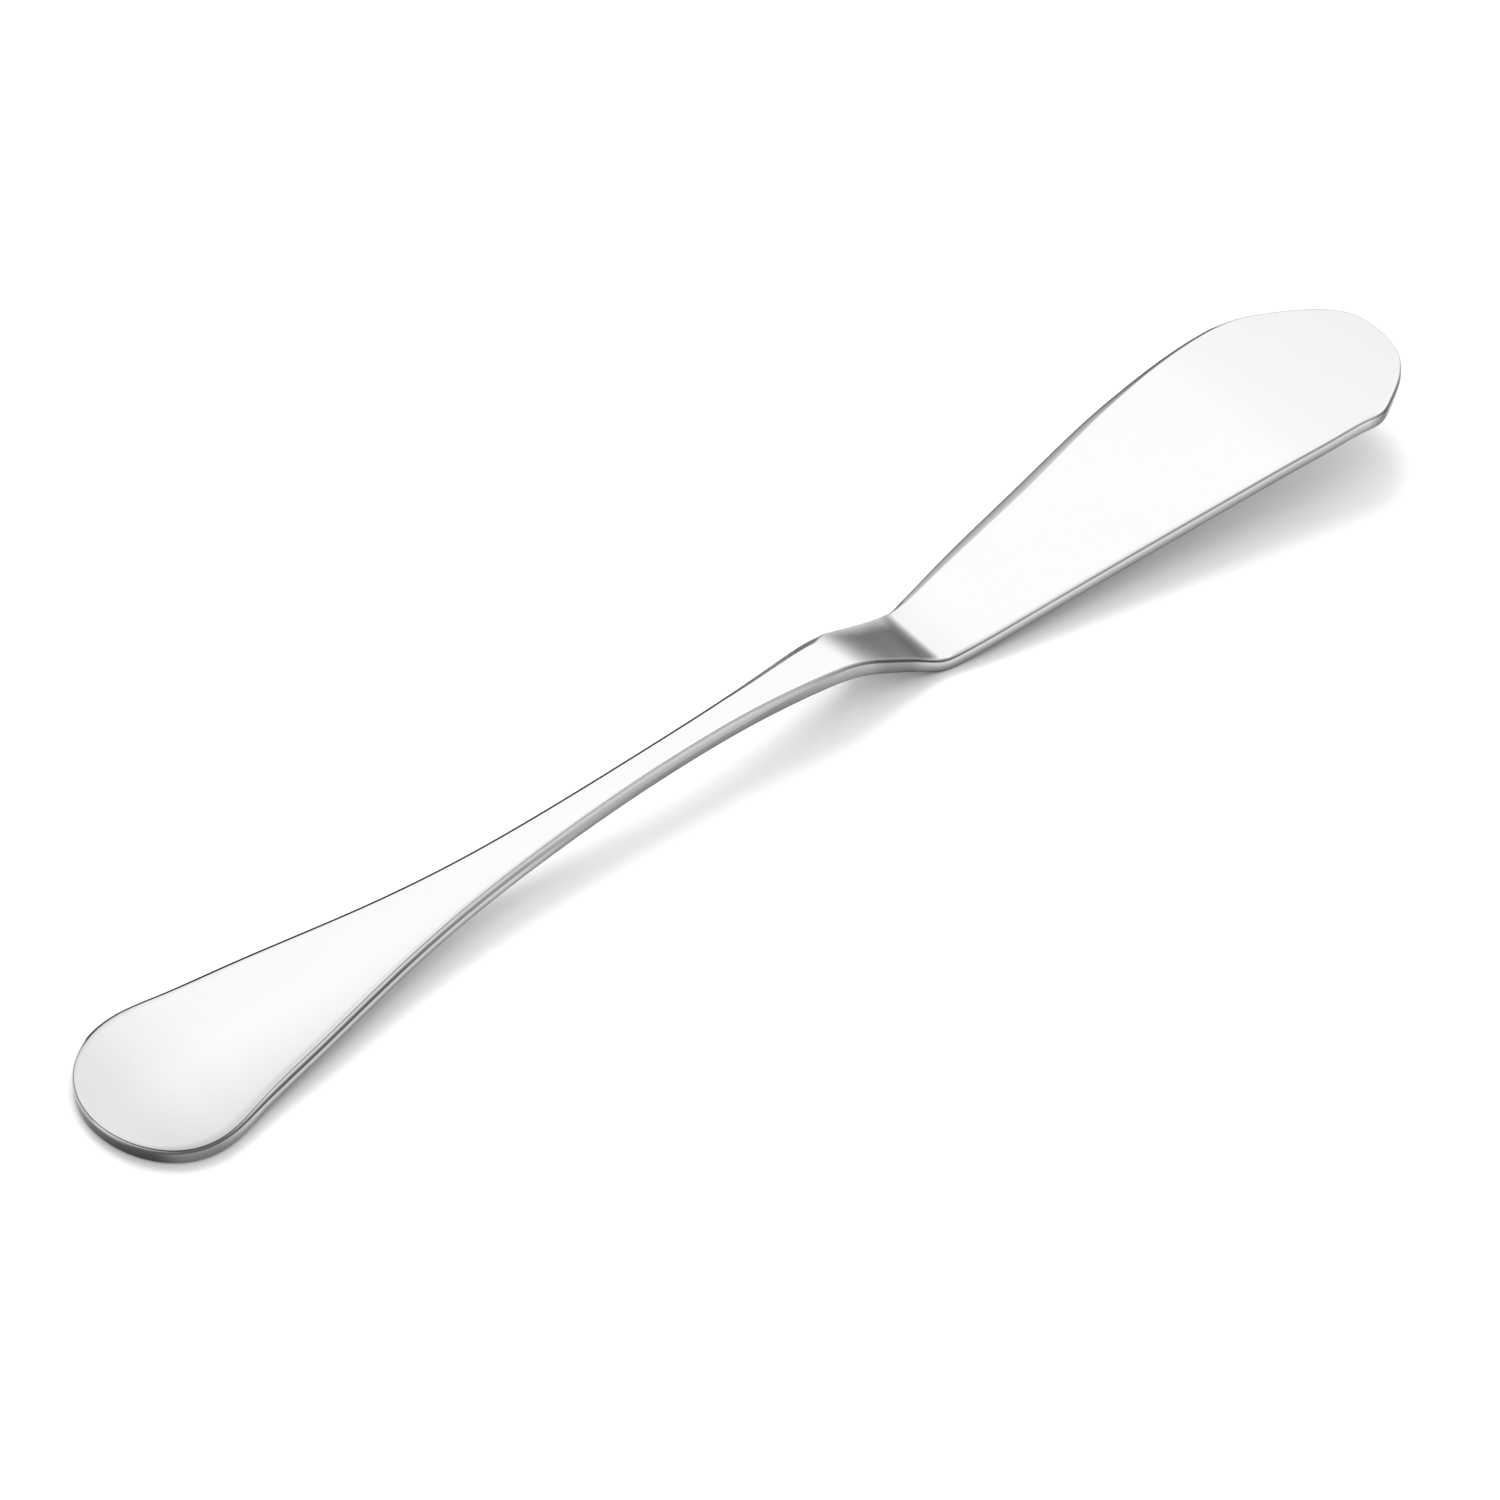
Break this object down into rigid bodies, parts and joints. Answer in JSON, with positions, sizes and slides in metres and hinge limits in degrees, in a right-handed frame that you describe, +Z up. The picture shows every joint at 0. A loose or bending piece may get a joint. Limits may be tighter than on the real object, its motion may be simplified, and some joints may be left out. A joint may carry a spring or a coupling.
{
  "type": "butter knife",
  "caption": "One-piece cranked butter knife of polished steel: rounded handle end, arched slim neck, short crank and a broad flat blade that rises to a clipped tip.",
  "frame": {"origin": "on the table, under the middle of the knife's length and width", "axes": "+X from the handle's end to the blade's tip, +Y towards the back of the blade, +Z up from the table"},
  "size_m": [0.17, 0.0228, 0.0102],
  "materials": {
    "polished_steel": "mirror-polished stainless steel with fine polishing lines"
  },
  "bodies": {
    "root": {"knife": "polished_steel"}
  },
  "joints": []
}
